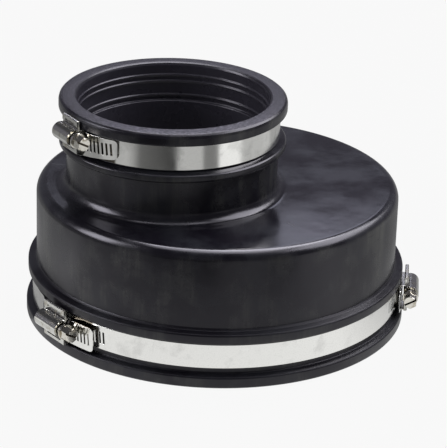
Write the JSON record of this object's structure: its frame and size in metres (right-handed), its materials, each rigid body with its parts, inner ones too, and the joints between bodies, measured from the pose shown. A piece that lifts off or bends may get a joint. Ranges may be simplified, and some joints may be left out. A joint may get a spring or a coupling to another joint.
{
  "type": "pipe coupling",
  "caption": "Flexible rubber eccentric reducing coupling for pipes of two diameters, closed on each end by a worm-drive band clamp.",
  "frame": {"origin": "on the large socket's axis, in the plane of the large end face the coupling stands on", "axes": "+Z along both sockets, from the large end face to the small one; -X from the large socket's axis towards the small socket's axis; +Y completes the right-handed frame, and the screw heads point towards -Y"},
  "size_m": [0.2338, 0.224, 0.1352],
  "materials": {
    "rubber": "moulded black rubber, soft sheen",
    "small_band_steel": "bright rolled strip",
    "large_band_steel": "bright rolled strip",
    "housing_steel": "pressed and polished",
    "saddle_steel": "pressed",
    "screw_steel": "bright turned"
  },
  "bodies": {
    "sleeve": {"rubber_sleeve": "rubber"},
    "small_clamp": {"small_band": "small_band_steel", "small_housing": "housing_steel", "small_saddle": "saddle_steel"},
    "small_worm": {"small_screw": "screw_steel"},
    "large_clamp": {"large_front_band": "large_band_steel", "large_rear_band": "large_band_steel", "large_left_housing": "housing_steel", "large_left_saddle": "saddle_steel", "large_right_housing": "housing_steel", "large_right_saddle": "saddle_steel"},
    "large_left_worm": {"large_left_screw": "screw_steel"},
    "large_right_worm": {"large_right_screw": "screw_steel"}
  },
  "joints": [
    {"name": "small_clamp_turn", "type": "hinge", "parent": "sleeve", "child": "small_clamp", "pos_m": [-0.0278, 0, 0.1198], "axis": [0, 0, 1], "continuous": true},
    {"name": "small_screw_spin", "type": "hinge", "parent": "small_clamp", "child": "small_worm", "pos_m": [-0.0939, -0.02212, 0.1233], "axis": [0.3173, -0.9483, 0], "continuous": true},
    {"name": "large_clamp_turn", "type": "hinge", "parent": "sleeve", "child": "large_clamp", "pos_m": [0, 0, 0.0158], "axis": [0, 0, 1], "continuous": true},
    {"name": "large_left_screw_spin", "type": "hinge", "parent": "large_clamp", "child": "large_left_worm", "pos_m": [-0.10696, -0.0454, 0.0181], "axis": [0.3907, -0.9205, 0], "continuous": true},
    {"name": "large_right_screw_spin", "type": "hinge", "parent": "large_clamp", "child": "large_right_worm", "pos_m": [0.1102, -0.03687, 0.018], "axis": [-0.3173, -0.9483, 0], "continuous": true}
  ]
}
